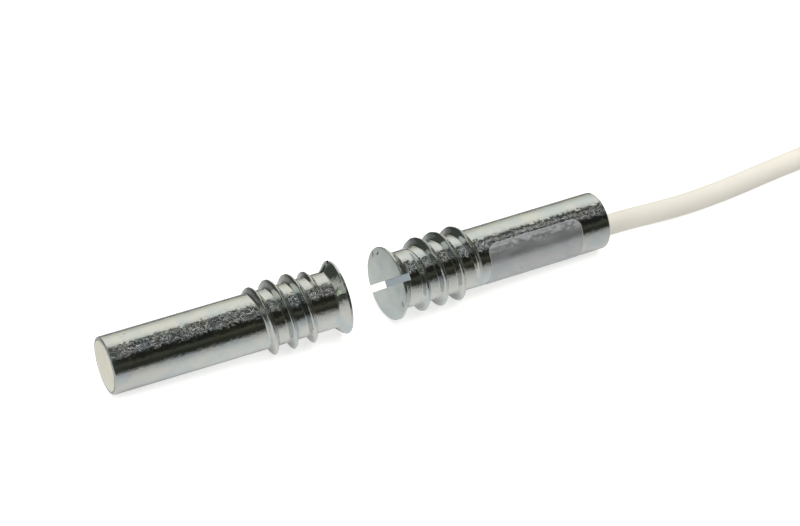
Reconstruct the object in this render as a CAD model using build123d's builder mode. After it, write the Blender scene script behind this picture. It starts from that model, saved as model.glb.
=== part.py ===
from build123d import *
from math import atan2, ceil, cos, degrees, pi, radians, sin, tan
import os

os.makedirs("parts", exist_ok=True)

# A flush-mounting magnetic contact: a reed contact with a fixed cable, and its magnet. Both halves
# screw into drilled holes by the same housing. They lie on a surface, flange facing flange.
# Millimetres, +Z up, origin on the surface at the middle of the two halves.

# Housing, the same for both halves. Lengths run from the flange face to the rear end.
housing_length = 33.5
shank_d = 8.0
flange_d = 10.2
flange_rim = 0.3
cone_slope = 45.0
front_wall = 3.2
shank_wall = 0.5
mouth_chamfer = 0.15
rear_chamfer = 0.2
slot_width = 1.0
slot_depth = 1.75

# Self-tapping thread, right-handed, on a neck that tapers up to the shank
thread_start = 2.89
thread_pitch = 2.82
thread_turns = 3.5
thread_fade = 0.5
crest_d = 9.86
neck_taper = 0.1
thread_neck = 13.6
crest_width = 0.25
ridge_width = 1.5
ridge_root = 0.2
thread_angle = -81.0

# How the two halves lie
face_gap = 7.11
magnet_shift = 0.70
magnet_heading = 6.2
contact_slot_angle = 139.0
magnet_slot_angle = 118.5

# Reed switch
joint_space = 2.3
reed_room = 19.5
glass_d = 2.2
glass_wall = 0.35
glass_taper = 0.9
seal_length = 2.3
reed_lead_d = 0.5
front_lead_length = 1.6
rear_lead_length = 3.1
blade_width = 1.0
blade_thickness = 0.2
blade_gap = 0.06
blade_overlap = 1.2

# Insulating sleeve that lines the bore, and the resin plug behind it
sleeve_wall = 0.25
resin_depth = 8.5

# Cable, its cores and where it leaves the resin
cable_d = 3.0
cable_embed = 5.0
exit_side = -0.7
exit_drop = -0.9
core_d = 0.85
conductor_d = 0.5
core_spacing = 0.95
core_clearance = 0.08
collar_height = 0.6
collar_width = 0.55
collar_lip = 0.1

# Soldered joints
solder_d = 1.5
solder_length = 1.5
loop_solder_d = 1.3
wire_gap = 0.04

# Label film on the contact's shank
film_front = 14.2
film_margin = 4.5
film_thickness = 0.06
film_from = 125.0
film_to = 235.0
film_corner = 1.2

# Magnet
magnet_room = 0.5
magnet_length = 20.0

# The cable's way along the surface, measured from where it leaves the resin
straight_exit = 4.4
lead_places = [
    (14.0, 0.55),
    (22.0, 0.65),
    (30.5, 1.5),
    (37.5, 1.9),
    (43.0, 3.5),
    (48.5, 7.2),
    (52.5, 9.2),
]

# Hank of the cable that is put away, in line with the contact: two columns of turns in five rows
hank_run = 60.0
hank_inner_turn = 9.0
hank_columns = 2
hank_rows = 5
hank_corner = 1.0
hank_start = 54.97
hank_side = -1.9
tail_places = [(-4.5, 3.1), (-9.0, 2.2), (-23.0, -2.8), (-34.0, -2.95)]
tie_width = 3.0
tie_thickness = 0.5
core_straight = 3.6
core_down = 8.4
end_tip = 5.0

shank_r = shank_d / 2
flange_r = flange_d / 2
crest_r = crest_d / 2
thread_root_r = shank_r - neck_taper
bore_r = shank_r - shank_wall
cable_r = cable_d / 2
cone_end = flange_rim + (flange_r - thread_root_r) / tan(radians(cone_slope))


def bottom_crest(slot_angle):
    """How far back the last full crest under the shank is, at the rear edge of its flat."""
    turn = (270.0 - slot_angle - thread_angle) % 360.0 / 360.0
    whole = ceil(thread_turns - thread_fade - turn) - 1
    return thread_start + (turn + whole) * thread_pitch + crest_width / 2


def rest(slot_angle):
    """Tilt of a half that lies on its last crest and its rear edge, and its flange's height."""
    crest = bottom_crest(slot_angle)
    tilt = atan2(crest_r - shank_r, housing_length - rear_chamfer - crest)
    return tilt, crest * sin(tilt) + crest_r * cos(tilt)


contact_tilt, contact_height = rest(contact_slot_angle)
magnet_tilt, magnet_height = rest(magnet_slot_angle)
heading = radians(magnet_heading)

# The middle of the two halves' extent along X and Y, measured from the contact's flange face
far_end = housing_length * cos(contact_tilt) + shank_r * sin(contact_tilt)
near_end = -face_gap - housing_length * cos(magnet_tilt) * cos(heading) - shank_r * sin(heading)
far_side = magnet_shift + housing_length * cos(magnet_tilt) * sin(heading) + shank_r * cos(heading)
middle = Vector((far_end + near_end) / 2, (far_side - flange_r) / 2, 0)


def axis_plane(face, turn, tilt):
    """A housing's frame: z back along its axis, y up, origin at the flange face."""
    back = Vector(cos(tilt) * cos(turn), cos(tilt) * sin(turn), -sin(tilt))
    up = Vector(sin(tilt) * cos(turn), sin(tilt) * sin(turn), cos(tilt))
    return Plane(origin=face, x_dir=up.cross(back), z_dir=back)


contact_axis = axis_plane(Vector(0, 0, contact_height) - middle, 0.0, contact_tilt)
magnet_axis = axis_plane(
    Vector(-face_gap, magnet_shift, magnet_height) - middle, pi - heading, magnet_tilt
)


def lengthwise(axis_frame):
    """The plane that holds a housing's axis as its y, for profiles that are revolved."""
    side = axis_frame.x_dir
    return Plane(origin=axis_frame.origin, x_dir=side, z_dir=side.cross(axis_frame.z_dir))


def bend_radii(points):
    """An arc for each corner of a route, as large as its two runs allow."""
    radii = []
    for before, corner, after in zip(points, points[1:], points[2:]):
        half = radians((corner - before).get_angle(after - corner)) / 2
        run = min((corner - before).length, (after - corner).length)
        radii.append(0.45 * run / tan(half))
    return radii


# Housing

def thread_edge(along, radius, lift, first_turn, last_turn):
    """One edge of the thread ridge, which rises or sinks by lift on its way."""
    height = (last_turn - first_turn) * thread_pitch
    cone = degrees(atan2(lift, height))
    edge = Edge.make_helix(thread_pitch / cos(radians(cone)), height, radius, angle=cone)
    return edge.moved(Location((0, 0, along + first_turn * thread_pitch), (0, 0, 360 * first_turn)))


def thread_ridge(first_turn, last_turn, sunk, lift):
    """A stretch of the thread ridge with its four helical faces and two ends."""
    rise = crest_r - thread_root_r
    foot = ridge_width / 2 + ridge_root * (ridge_width - crest_width) / 2 / rise
    corners = [
        (-foot, thread_root_r - ridge_root),
        (-crest_width / 2, crest_r),
        (crest_width / 2, crest_r),
        (foot, thread_root_r - ridge_root),
    ]
    edges = [thread_edge(z, r - sunk, lift, first_turn, last_turn) for z, r in corners]
    faces = [Face.make_surface_from_curves(a, b) for a, b in zip(edges, edges[1:] + edges[:1])]
    for end in (0, 1):
        faces.append(Face(Wire.make_polygon([edge.position_at(end) for edge in edges])))
    return Solid(Shell(faces))


ridge_rise = crest_r - thread_root_r
ridge = [
    thread_ridge(0, thread_fade, ridge_rise, ridge_rise),
    thread_ridge(thread_fade, thread_turns - thread_fade, 0, 0),
    thread_ridge(thread_turns - thread_fade, thread_turns, 0, -ridge_rise),
]

with BuildPart() as housing:
    with BuildSketch(Plane.XZ):
        with BuildLine():
            Polyline(
                (0, 0),
                (flange_r, 0),
                (flange_r, flange_rim),
                (thread_root_r, cone_end),
                (shank_r, thread_neck),
                (shank_r, housing_length - rear_chamfer),
                (shank_r - rear_chamfer, housing_length),
                (0, housing_length),
                close=True,
            )
        make_face()
    revolve(axis=Axis.Z)
    for stretch in ridge:
        add(stretch.moved(Location((0, 0, thread_start), (0, 0, thread_angle))))
    with BuildSketch(Plane.XY):
        Rectangle(flange_d + crest_d, slot_width)
    extrude(amount=slot_depth, mode=Mode.SUBTRACT)
    with BuildSketch(Plane.XY.offset(housing_length)):
        Circle(bore_r)
    extrude(amount=front_wall - housing_length, mode=Mode.SUBTRACT)
    mouth = housing.edges().filter_by(GeomType.CIRCLE).group_by(Axis.Z)[-1].sort_by(SortBy.RADIUS)[0]
    chamfer(mouth, length=mouth_chamfer)

with BuildPart() as contact_housing:
    add(housing.part.moved(contact_axis.location * Location((0, 0, 0), (0, 0, contact_slot_angle))))
contact_housing.part.label = "contact_housing"
export_step(contact_housing.part, "parts/contact_housing.step")

with BuildPart() as magnet_housing:
    add(housing.part.moved(magnet_axis.location * Location((0, 0, 0), (0, 0, magnet_slot_angle))))
magnet_housing.part.label = "magnet_housing"
export_step(magnet_housing.part, "parts/magnet_housing.step")


# Reed switch on the contact's axis, close behind the front wall

contact_spin = Axis(contact_axis.origin, contact_axis.z_dir)
contact_profile = lengthwise(contact_axis)
glass_length = housing_length - reed_room
glass_front = front_wall + joint_space
glass_rear = glass_front + glass_length
glass_r = glass_d / 2
reed_lead_r = reed_lead_d / 2
glass_bore_r = glass_r - glass_wall

with BuildPart() as reed_glass:
    with BuildSketch(contact_profile):
        with BuildLine():
            Polyline(
                (reed_lead_r, glass_front),
                (glass_bore_r, glass_front),
                (glass_r, glass_front + glass_taper),
                (glass_r, glass_rear - glass_taper),
                (glass_bore_r, glass_rear),
                (reed_lead_r, glass_rear),
                (reed_lead_r, glass_rear - seal_length),
                (glass_bore_r, glass_rear - seal_length),
                (glass_bore_r, glass_front + seal_length),
                (reed_lead_r, glass_front + seal_length),
                close=True,
            )
        make_face()
    revolve(axis=contact_spin)
reed_glass.part.label = "reed_glass"
export_step(reed_glass.part, "parts/reed_glass.step")

# Each blade is a round lead that is rolled flat inside the glass
blade_lift = (blade_gap + blade_thickness) / 2
blade_start = seal_length + blade_thickness
glass_middle = (glass_front + glass_rear) / 2
front_lead_end = glass_front - front_lead_length
rear_lead_end = glass_rear + rear_lead_length

with BuildPart() as reed_blade_front:
    with BuildSketch(contact_axis.offset(front_lead_end)):
        Circle(reed_lead_r)
    extrude(amount=front_lead_length + blade_start + reed_lead_d)
    with BuildSketch(contact_axis.offset(glass_front + blade_start)):
        with Locations((0, blade_lift)):
            Rectangle(blade_width, blade_thickness)
    extrude(amount=glass_middle + blade_overlap / 2 - glass_front - blade_start)
reed_blade_front.part.label = "reed_blade_front"
export_step(reed_blade_front.part, "parts/reed_blade_front.step")

with BuildPart() as reed_blade_rear:
    with BuildSketch(contact_axis.offset(rear_lead_end)):
        Circle(reed_lead_r)
    extrude(amount=-(rear_lead_length + blade_start + reed_lead_d))
    with BuildSketch(contact_axis.offset(glass_rear - blade_start)):
        with Locations((0, -blade_lift)):
            Rectangle(blade_width, blade_thickness)
    extrude(amount=glass_middle - blade_overlap / 2 - glass_rear + blade_start)
reed_blade_rear.part.label = "reed_blade_rear"
export_step(reed_blade_rear.part, "parts/reed_blade_rear.step")

with BuildPart() as insulating_sleeve:
    with BuildSketch(contact_axis.offset(front_wall)):
        Circle(bore_r)
        Circle(bore_r - sleeve_wall, mode=Mode.SUBTRACT)
    extrude(amount=housing_length - resin_depth - front_wall)
insulating_sleeve.part.label = "insulating_sleeve"
export_step(insulating_sleeve.part, "parts/insulating_sleeve.step")


# Cores inside the housing: each leaves the jacket's inner end and runs to its joint

jacket_end = housing_length - cable_embed
core_r = core_d / 2
conductor_r = conductor_d / 2
step = core_spacing / 2
beside_glass = -(glass_r + core_clearance + core_r)
beside_lead = -(reed_lead_r + wire_gap + conductor_r)
front_joint = (glass_front + front_lead_end) / 2
rear_joint = rear_lead_end - solder_length / 2
loop_joint = (jacket_end + rear_lead_end) / 2
loop_drop = exit_drop - core_spacing / 2
loop_side = conductor_r + wire_gap / 2


def inside(points):
    """Points of the contact's frame, x sideways, y up and z back, as places in the model."""
    return [contact_axis.from_local_coords(point) for point in points]


def wire(points, radius):
    """A round wire or core, bent sharply at its corners."""
    with BuildPart() as made:
        with BuildLine():
            Polyline(*points)
        with BuildSketch(Plane(origin=points[0], z_dir=points[1] - points[0])):
            Circle(radius)
        sweep(transition=Transition.RIGHT)
    return made.part


def cord(points, radius):
    """A round cord along a route, with an arc at each corner."""
    with BuildPart() as made:
        with BuildLine():
            FilletPolyline(*points, radius=bend_radii(points))
        with BuildSketch(Plane(origin=points[0], z_dir=points[1] - points[0])):
            Circle(radius)
        sweep()
    return made.part


white_route = [
    (exit_side - step, exit_drop + step, jacket_end),
    (exit_side - step, exit_drop + step, jacket_end - 2 * core_d),
    (beside_glass, 0, glass_rear + 3 * core_d),
    (beside_glass, 0, glass_front + core_d),
]
brown_route = [
    (exit_side + step, exit_drop + step, jacket_end),
    (exit_side + step, exit_drop + step, jacket_end - 2 * core_d),
    (beside_lead, 0, rear_lead_end + core_d),
]
yellow_route = [
    (exit_side - step, exit_drop - step, jacket_end),
    (exit_side - step, exit_drop - step, jacket_end - core_d),
]
green_route = [
    (exit_side + step, exit_drop - step, jacket_end),
    (exit_side + step, exit_drop - step, jacket_end - core_d),
]
white_bare = [
    white_route[-1],
    (beside_glass, 0, glass_front),
    (beside_lead, 0, glass_front - core_r),
    (beside_lead, 0, front_joint - solder_length / 3),
]
brown_bare = [brown_route[-1], (beside_lead, 0, rear_joint - solder_length / 4)]
yellow_bare = [
    yellow_route[-1],
    (exit_side - loop_side, loop_drop, loop_joint + solder_length / 2),
    (exit_side - loop_side, loop_drop, loop_joint - solder_length / 4),
]
green_bare = [
    green_route[-1],
    (exit_side + loop_side, loop_drop, loop_joint + solder_length / 2),
    (exit_side + loop_side, loop_drop, loop_joint - solder_length / 4),
]

with BuildPart() as core_white:
    add(wire(inside(white_route), core_r))
core_white.part.label = "core_white"
export_step(core_white.part, "parts/core_white.step")

with BuildPart() as core_brown:
    add(wire(inside(brown_route), core_r))
core_brown.part.label = "core_brown"
export_step(core_brown.part, "parts/core_brown.step")

with BuildPart() as core_yellow:
    add(wire(inside(yellow_route), core_r))
core_yellow.part.label = "core_yellow"
export_step(core_yellow.part, "parts/core_yellow.step")

with BuildPart() as core_green:
    add(wire(inside(green_route), core_r))
core_green.part.label = "core_green"
export_step(core_green.part, "parts/core_green.step")

with BuildPart() as conductor_white:
    add(wire(inside(white_bare), conductor_r))
conductor_white.part.label = "conductor_white"
export_step(conductor_white.part, "parts/conductor_white.step")

with BuildPart() as conductor_brown:
    add(wire(inside(brown_bare), conductor_r))
conductor_brown.part.label = "conductor_brown"
export_step(conductor_brown.part, "parts/conductor_brown.step")

with BuildPart() as conductor_yellow:
    add(wire(inside(yellow_bare), conductor_r))
conductor_yellow.part.label = "conductor_yellow"
export_step(conductor_yellow.part, "parts/conductor_yellow.step")

with BuildPart() as conductor_green:
    add(wire(inside(green_bare), conductor_r))
conductor_green.part.label = "conductor_green"
export_step(conductor_green.part, "parts/conductor_green.step")


# Soldered joints, each round the two wires that it joins

def bead(side, drop, back, diameter):
    """A bead of solder at a place in the contact's frame, before its wires are cut out."""
    with BuildPart() as made:
        with BuildSketch(contact_axis.offset(back - solder_length / 2)):
            with Locations((side, drop)):
                Circle(diameter / 2)
        extrude(amount=solder_length)
    return made.part


with BuildPart() as solder_front:
    add(bead(beside_lead / 2, 0, front_joint, solder_d))
    add([reed_blade_front.part, conductor_white.part], mode=Mode.SUBTRACT)
solder_front.part.label = "solder_front"
export_step(solder_front.part, "parts/solder_front.step")

with BuildPart() as solder_rear:
    add(bead(beside_lead / 2, 0, rear_joint, solder_d))
    add([reed_blade_rear.part, conductor_brown.part], mode=Mode.SUBTRACT)
solder_rear.part.label = "solder_rear"
export_step(solder_rear.part, "parts/solder_rear.step")

with BuildPart() as solder_loop:
    add(bead(exit_side, loop_drop, loop_joint, loop_solder_d))
    add([conductor_yellow.part, conductor_green.part], mode=Mode.SUBTRACT)
solder_loop.part.label = "solder_loop"
export_step(solder_loop.part, "parts/solder_loop.step")


# Cable from inside the resin, out of the rear end and along the surface into its coil

entry = contact_axis.from_local_coords((exit_side, exit_drop, jacket_end))
outlet = contact_axis.from_local_coords((exit_side, exit_drop, housing_length))
lead_route = [
    entry,
    outlet + contact_axis.z_dir * straight_exit,
]
lead_route += [Vector(outlet.X + x, outlet.Y + y, cable_r) for x, y in lead_places]

# Outer shape of the hank
hank_inner = hank_inner_turn - cable_r
hank_outer = hank_inner + hank_columns * cable_d
hank_height = hank_rows * cable_d
hank_middle = Vector(outlet.X + hank_start + hank_run / 2, outlet.Y + hank_side, 0)
tied_run = hank_middle + Vector(-tie_width / 2, (hank_inner + hank_outer) / 2, hank_height / 2)

with BuildPart() as coil_tie:
    with BuildSketch(Plane(origin=tied_run, x_dir=(0, 1, 0), z_dir=(1, 0, 0))):
        for inset, mode in ((0, Mode.ADD), (tie_thickness, Mode.SUBTRACT)):
            with BuildSketch(mode=Mode.PRIVATE) as band:
                Rectangle(hank_outer - hank_inner - 2 * inset, hank_height - 2 * inset)
                chamfer(band.vertices().group_by(Axis.Y)[-1], length=hank_corner)
            add(band.sketch, mode=mode)
    extrude(amount=tie_width)
coil_tie.part.label = "coil_tie"
export_step(coil_tie.part, "parts/coil_tie.step")

with BuildPart() as cable_coil:
    with BuildSketch(Plane(origin=hank_middle)):
        SlotCenterToCenter(hank_run, 2 * hank_outer)
        SlotCenterToCenter(hank_run, 2 * hank_inner, mode=Mode.SUBTRACT)
    extrude(amount=hank_height)
    chamfer(cable_coil.faces().sort_by(Axis.Z)[-1].edges(), length=hank_corner)
    add(coil_tie.part, mode=Mode.SUBTRACT)
cable_coil.part.label = "cable_coil"
export_step(cable_coil.part, "parts/cable_coil.step")

with BuildPart() as cable_lead:
    add(cord(lead_route, cable_r))
    add(cable_coil.part, mode=Mode.SUBTRACT)
cable_lead.part.label = "cable_lead"
export_step(cable_lead.part, "parts/cable_lead.step")

# The last turn leaves the second row of the near run and comes down to the surface beside it
last_turn = hank_middle + Vector(hank_run / 2, -hank_outer, 0)
tail_heights = (cable_d + cable_r, cable_d + cable_r, cable_r, cable_r)
tail_route = [last_turn + Vector(x, y, z) for (x, y), z in zip(tail_places, tail_heights)]
with BuildPart() as cable_tail:
    add(cord(tail_route, cable_r))
    add(cable_coil.part, mode=Mode.SUBTRACT)
cable_tail.part.label = "cable_tail"
export_step(cable_tail.part, "parts/cable_tail.step")


# Stripped far end: four cores that spread a little and lie down, with bare tips

jacket_face = tail_route[-1]
ahead = (tail_route[-1] - tail_route[-2]).normalized()
across = ahead.rotate(Axis.Z, 90)


def end_route(column, row, apart, spread, reach):
    """Route of one stripped core, from the jacket's end face to its tip on the surface."""
    begin = jacket_face + across * column * step + Vector(0, 0, row * step)
    down = Vector(0, 0, core_r - begin.Z)
    return [
        begin,
        begin + ahead * core_d,
        begin + ahead * core_straight + across * apart,
        begin + ahead * core_down + across * (apart * 0.4 + spread * 0.6) + down,
        begin + ahead * reach + across * spread + down,
    ]


white_end = end_route(1, 1, 0.9, 2.1, 21.5)
brown_end = end_route(1, -1, 0.1, 0.6, 23.5)
yellow_end = end_route(-1, 1, -0.9, -1.8, 20.8)
green_end = end_route(-1, -1, -0.1, -0.4, 22.6)


def tip(route):
    """The bare tip that carries on from a stripped core."""
    return [route[-1], route[-1] + (route[-1] - route[-2]).normalized() * end_tip]


with BuildPart() as core_white_end:
    add(wire(white_end, core_r))
core_white_end.part.label = "core_white_end"
export_step(core_white_end.part, "parts/core_white_end.step")

with BuildPart() as core_brown_end:
    add(wire(brown_end, core_r))
core_brown_end.part.label = "core_brown_end"
export_step(core_brown_end.part, "parts/core_brown_end.step")

with BuildPart() as core_yellow_end:
    add(wire(yellow_end, core_r))
core_yellow_end.part.label = "core_yellow_end"
export_step(core_yellow_end.part, "parts/core_yellow_end.step")

with BuildPart() as core_green_end:
    add(wire(green_end, core_r))
core_green_end.part.label = "core_green_end"
export_step(core_green_end.part, "parts/core_green_end.step")

with BuildPart() as tip_white:
    add(wire(tip(white_end), conductor_r))
tip_white.part.label = "tip_white"
export_step(tip_white.part, "parts/tip_white.step")

with BuildPart() as tip_brown:
    add(wire(tip(brown_end), conductor_r))
tip_brown.part.label = "tip_brown"
export_step(tip_brown.part, "parts/tip_brown.step")

with BuildPart() as tip_yellow:
    add(wire(tip(yellow_end), conductor_r))
tip_yellow.part.label = "tip_yellow"
export_step(tip_yellow.part, "parts/tip_yellow.step")

with BuildPart() as tip_green:
    add(wire(tip(green_end), conductor_r))
tip_green.part.label = "tip_green"
export_step(tip_green.part, "parts/tip_green.step")


# Resin plug in each bore's rear end, and the magnet

embedded = [
    cable_lead,
    core_white,
    core_brown,
    core_yellow,
    core_green,
    conductor_brown,
    conductor_yellow,
    conductor_green,
    solder_rear,
    solder_loop,
    reed_blade_rear,
]
collar_plane = Plane(
    origin=outlet,
    x_dir=contact_axis.x_dir,
    z_dir=contact_axis.x_dir.cross(contact_axis.z_dir),
)

with BuildPart() as contact_potting:
    with BuildSketch(contact_profile):
        with BuildLine():
            Polyline(
                (0, housing_length - resin_depth),
                (bore_r, housing_length - resin_depth),
                (bore_r, housing_length - mouth_chamfer),
                (bore_r + mouth_chamfer, housing_length),
                (0, housing_length),
                close=True,
            )
        make_face()
    revolve(axis=contact_spin)
    with BuildSketch(collar_plane):
        with BuildLine():
            ThreePointArc(
                (cable_r + collar_width, 0),
                (cable_r + collar_lip + (collar_width - collar_lip) * 0.3, collar_height * 0.3),
                (cable_r + collar_lip, collar_height),
            )
            Polyline(
                (cable_r + collar_lip, collar_height),
                (0, collar_height),
                (0, -collar_height),
                (cable_r + collar_width, -collar_height),
                (cable_r + collar_width, 0),
            )
        make_face()
    revolve(axis=Axis(outlet, contact_axis.z_dir))
    for piece in embedded:
        add(piece.part, mode=Mode.SUBTRACT)
contact_potting.part.label = "contact_potting"
export_step(contact_potting.part, "parts/contact_potting.step")

magnet_spin = Axis(magnet_axis.origin, magnet_axis.z_dir)
magnet_r = bore_r - magnet_room

with BuildPart() as bar_magnet:
    with BuildSketch(magnet_axis.offset(front_wall)):
        Circle(magnet_r)
    extrude(amount=magnet_length)
bar_magnet.part.label = "bar_magnet"
export_step(bar_magnet.part, "parts/bar_magnet.step")

with BuildPart() as magnet_potting:
    with BuildSketch(lengthwise(magnet_axis)):
        with BuildLine():
            Polyline(
                (0, front_wall),
                (bore_r, front_wall),
                (bore_r, housing_length - mouth_chamfer),
                (bore_r + mouth_chamfer, housing_length),
                (0, housing_length),
                close=True,
            )
        make_face()
    revolve(axis=magnet_spin)
    add(bar_magnet.part, mode=Mode.SUBTRACT)
magnet_potting.part.label = "magnet_potting"
export_step(magnet_potting.part, "parts/magnet_potting.step")


# Clear film wrapped on the side of the contact's shank

film_length = housing_length - film_margin - film_front
film_middle = contact_axis.x_dir.rotate(contact_spin, (film_from + film_to) / 2)
film_chord = 2 * (shank_r + film_thickness) * sin(radians(film_to - film_from) / 2)
with BuildPart() as label_film:
    with BuildSketch(contact_axis.offset(film_front)):
        Circle(shank_r + film_thickness)
        Circle(shank_r, mode=Mode.SUBTRACT)
    extrude(amount=film_length)
    with BuildSketch(Plane(contact_axis.origin, x_dir=contact_axis.z_dir, z_dir=film_middle)):
        with Locations((film_front + film_length / 2, 0)):
            RectangleRounded(film_length, film_chord, film_corner)
    extrude(amount=shank_d, mode=Mode.INTERSECT)
label_film.part.label = "label_film"
export_step(label_film.part, "parts/label_film.step")


for name, route in (("lead", lead_route), ("tail", tail_route)):
    print(name, "bend radii", [round(radius, 1) for radius in bend_radii(route)])
print("tilt", round(degrees(contact_tilt), 2), round(degrees(magnet_tilt), 2))
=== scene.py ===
from math import atan2, cos, degrees, exp, floor, pi, radians, sin, sqrt, tau
import bmesh
import bpy
from bpy.props import FloatProperty, FloatVectorProperty, PointerProperty
from mathutils import Matrix, Vector, noise


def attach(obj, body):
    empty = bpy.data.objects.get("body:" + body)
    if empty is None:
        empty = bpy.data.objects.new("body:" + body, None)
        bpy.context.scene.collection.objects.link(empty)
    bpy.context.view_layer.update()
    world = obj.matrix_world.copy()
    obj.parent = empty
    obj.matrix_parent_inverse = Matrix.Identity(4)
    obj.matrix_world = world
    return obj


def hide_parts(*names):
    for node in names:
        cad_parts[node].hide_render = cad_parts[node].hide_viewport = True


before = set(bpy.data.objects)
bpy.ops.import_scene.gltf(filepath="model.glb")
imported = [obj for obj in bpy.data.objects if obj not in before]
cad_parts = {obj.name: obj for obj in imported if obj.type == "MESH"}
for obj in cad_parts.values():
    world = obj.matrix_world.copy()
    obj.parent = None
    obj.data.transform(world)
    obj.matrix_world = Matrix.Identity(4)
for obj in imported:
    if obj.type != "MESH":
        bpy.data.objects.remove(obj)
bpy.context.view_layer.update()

bl_info = {
    "name": "Magnetic contact",
    "version": (1, 0, 0),
    "blender": (4, 5, 0),
    "location": "3D View > Sidebar > Contact",
    "description": "Finishes a flush-mounting magnetic contact and its magnet",
    "category": "Object",
}

MM = 0.001
BODY = "root"

# Where the two halves lie, in millimetres and degrees: flange face, tilt, heading and slot
CONTACT_FACE = (3.5921, -1.5958, 5.3430)
CONTACT_TILT = 2.317
CONTACT_SLOT = 139.0
MAGNET_FACE = (-3.5179, -0.8958, 5.3524)
MAGNET_TILT = 2.3333
MAGNET_HEADING = 6.2
MAGNET_SLOT = 118.5

# Housing, measured back from the flange face
HOUSING_LENGTH = 33.5
SHANK_R = 4.0
FLANGE_R = 5.1
FLANGE_RIM = 0.3
BORE_R = 3.5
FRONT_WALL = 3.2
REAR_CHAMFER = 0.2
SLOT_WIDTH = 1.0
SLOT_DEPTH = 1.75
THREAD_START = 2.89
THREAD_PITCH = 2.82
THREAD_TURNS = 3.5
THREAD_ANGLE = -81.0
ROOT_R = 3.9
NECK_END = 13.6
CREST_R = 4.93

# Nicks in the flange face, painted only as dark shade: places in millimetres, with the slot along the
# first axis, and turns
NICKS = (((-1.30, -4.36), 30.0), ((0.19, -4.28), 68.0), ((2.9, 3.3), 15.0))
NICK_SIZE = (0.16, 0.52, 0.15)

# The side of both halves, as they lie, that rubbed in the plating barrel
RUBBED_SIDE = (0.0, -0.545, 0.839)

# Where the resin begins, measured back from the flange face
CONTACT_RESIN = 25.0
MAGNET_RESIN = 24.0

# Cable, where it leaves the resin, and its coil
CABLE_R = 1.5
EXIT_SIDE = -0.7
EXIT_DROP = -0.9
HANK_MIDDLE = (121.998, -4.1958)
HANK_RUN = 60.0


def linear(code):
    """The scene-linear colour of an sRGB hex value."""
    parts = [int(code[k : k + 2], 16) / 255 for k in (1, 3, 5)]
    return [p / 12.92 if p <= 0.04045 else ((p + 0.055) / 1.055) ** 2.4 for p in parts]


def mm(*point):
    """A place given in millimetres, in metres."""
    return Vector(point) * MM


def smooth(t):
    """A soft step from 0 to 1."""
    t = min(1.0, max(0.0, t))
    return t * t * (3 - 2 * t)


def lying(face, tilt, turn):
    """The frame of a half as it lies: z back along its axis, y up, origin at its flange face."""
    tilt, turn = radians(tilt), radians(turn)
    back = Vector((cos(tilt) * cos(turn), cos(tilt) * sin(turn), -sin(tilt)))
    up = Vector((sin(tilt) * cos(turn), sin(tilt) * sin(turn), cos(tilt)))
    side = up.cross(back)
    turned = Matrix((side, up, back)).transposed().to_4x4()
    return Matrix.Translation(mm(*face)) @ turned


contact_frame = lying(CONTACT_FACE, CONTACT_TILT, 0.0)
magnet_frame = lying(MAGNET_FACE, MAGNET_TILT, 180.0 - MAGNET_HEADING)


class MetalSettings(bpy.types.PropertyGroup):
    """Finish of the two plated housings"""

    plate: FloatVectorProperty(
        name="Plate",
        description="Colour of the zinc plate",
        subtype="COLOR",
        size=3,
        default=linear("#D0D1CC"),
    )
    passivation: FloatVectorProperty(
        name="Passivation",
        description="Colour where the blue passivation is thicker",
        subtype="COLOR",
        size=3,
        default=linear("#C3CBCC"),
    )
    peel: FloatProperty(
        name="Plate grain",
        description="Size of the small waves in the plate",
        unit="LENGTH",
        default=0.45 * MM,
    )


class CableSettings(bpy.types.PropertyGroup):
    """Finish of the cable and of the resin that holds it"""

    jacket: FloatVectorProperty(
        name="Jacket",
        description="Colour of the cable's jacket",
        subtype="COLOR",
        size=3,
        default=linear("#F8F3E9"),
    )
    resin: FloatVectorProperty(
        name="Resin",
        description="Colour of the cast resin",
        subtype="COLOR",
        size=3,
        default=linear("#E8E5D7"),
    )


class FilmSettings(bpy.types.PropertyGroup):
    """Look of the clear film on the contact's shank"""

    haze: FloatProperty(
        name="Haze",
        description="How much of the film scatters light",
        subtype="FACTOR",
        min=0.0,
        max=1.0,
        default=0.19,
    )
    crease: FloatProperty(
        name="Crease",
        description="Height of the crease in the film",
        unit="LENGTH",
        default=0.05 * MM,
    )


class StageSettings(bpy.types.PropertyGroup):
    """Floor and light"""

    paper: FloatVectorProperty(
        name="Paper",
        description="Colour of the floor",
        subtype="COLOR",
        size=3,
        default=linear("#EBEBE7"),
    )
    fill: FloatProperty(
        name="Fill",
        description="Power of the large lamp overhead",
        unit="POWER",
        default=6.4,
    )


# Materials


def add_node(tree, kind, values=(), **settings):
    """A node with its settings, and with its values or links by name or in the order of the
    sockets in use. It returns the node's first output in use."""
    made = tree.nodes.new("ShaderNode" + kind)
    for name, value in settings.items():
        setattr(made, name, value)
    if isinstance(values, dict):
        pairs = [(made.inputs[name], value) for name, value in values.items()]
    else:
        pairs = zip([socket for socket in made.inputs if socket.enabled], values)
    for socket, value in pairs:
        if isinstance(value, bpy.types.NodeSocket):
            tree.links.new(value, socket)
        elif socket.type == "RGBA" and len(value) == 3:
            socket.default_value = (*value, 1)
        else:
            socket.default_value = value
    return next((socket for socket in made.outputs if socket.enabled), None)


def new_material(name, **values):
    """A material with its shader's own values, its node tree and its shader."""
    made = bpy.data.materials.new(name)
    made.use_nodes = True
    shader = made.node_tree.nodes["Principled BSDF"]
    for socket, value in values.items():
        shader.inputs[socket.replace("_", " ")].default_value = value
    return made, made.node_tree, shader


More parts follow.
